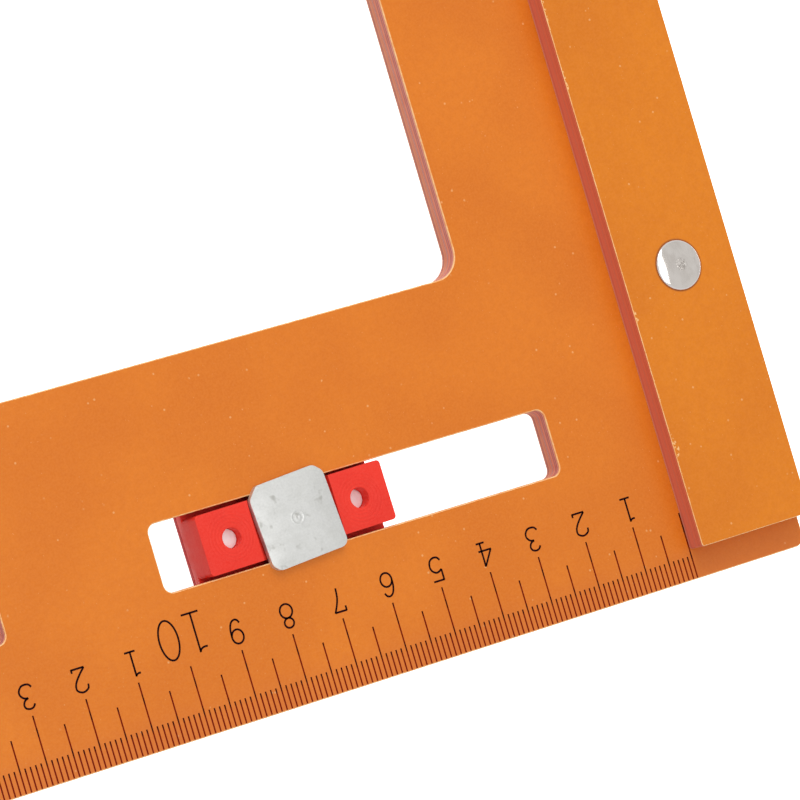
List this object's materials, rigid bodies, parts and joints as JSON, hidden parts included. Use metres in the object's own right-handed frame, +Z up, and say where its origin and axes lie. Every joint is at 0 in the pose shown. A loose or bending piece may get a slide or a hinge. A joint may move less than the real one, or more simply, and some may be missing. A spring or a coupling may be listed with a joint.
{
  "type": "carpenter's template square",
  "caption": "L-shaped laminated carpenter's square with a riveted fence, a millimetre scale along one edge, and slotted clamp stops that slide and lock with thumb knobs.",
  "frame": {"origin": "the scale's zero: the corner where the fence's inner face, the scale edge and the board's top face meet", "axes": "+X along the long arm and its scale, +Y from the arm out through the scale edge, +Z up out of the board's printed face"},
  "size_m": [0.2735, 0.2, 0.0248],
  "materials": {
    "board_laminate": "satin phenolic laminate with striped cut edges",
    "fence_laminate": "satin phenolic laminate",
    "rivet_metal": "bright domed head",
    "red_plastic": "moulded, faint machining rings",
    "red_base": "moulded",
    "screw_steel": "zinc plated",
    "plate_steel": "mottled grey zinc",
    "stud_steel": "zinc plated",
    "washer_steel": "zinc plated",
    "nut_steel": "zinc plated",
    "knob_plastic": "moulded black"
  },
  "bodies": {
    "square": {"square_board": "board_laminate", "fence_strip": "fence_laminate", "fence_rivet_a": "rivet_metal", "fence_rivet_b": "rivet_metal"},
    "slider_1": {"slide_block_1": "red_plastic", "base_plate_1": "red_base", "base_screws_1": "screw_steel", "knob_washer_1": "washer_steel"},
    "clamp_1": {"clamp_plate_1": "plate_steel", "clamp_stud_1": "stud_steel"},
    "knob_1": {"knob_nut_1": "nut_steel", "thumb_knob_1": "knob_plastic"},
    "slider_2": {"slide_block_2": "red_plastic", "base_plate_2": "red_base", "base_screws_2": "screw_steel", "knob_washer_2": "washer_steel"},
    "clamp_2": {"clamp_plate_2": "plate_steel", "clamp_stud_2": "stud_steel"},
    "knob_2": {"knob_nut_2": "nut_steel", "thumb_knob_2": "knob_plastic"}
  },
  "joints": [
    {"name": "slider_1_slide", "type": "slide", "parent": "square", "child": "slider_1", "axis": [1, 0, 0], "range_m": [-0.0335, 0.0082]},
    {"name": "knob_1_turn", "type": "hinge", "parent": "slider_1", "child": "knob_1", "pos_m": [0.0734, -0.031, -0.014], "axis": [0, 0, 1], "range_deg": [-540, 0]},
    {"name": "clamp_1_lift", "type": "slide", "parent": "slider_1", "child": "clamp_1", "axis": [0, 0, 1], "range_m": [0, 0.0012]},
    {"name": "slider_2_slide", "type": "slide", "parent": "square", "child": "slider_2", "axis": [1, 0, 0], "range_m": [-0.0265, 0.0154]},
    {"name": "knob_2_turn", "type": "hinge", "parent": "slider_2", "child": "knob_2", "pos_m": [0.176, -0.031, -0.014], "axis": [0, 0, 1], "range_deg": [-540, 0]},
    {"name": "clamp_2_lift", "type": "slide", "parent": "slider_2", "child": "clamp_2", "axis": [0, 0, 1], "range_m": [0, 0.0012]}
  ],
  "couplings": [
    {"joint": "clamp_1_lift", "follows": "knob_1_turn", "m_per_rad": -0.00012732},
    {"joint": "clamp_2_lift", "follows": "knob_2_turn", "m_per_rad": -0.00012732}
  ]
}
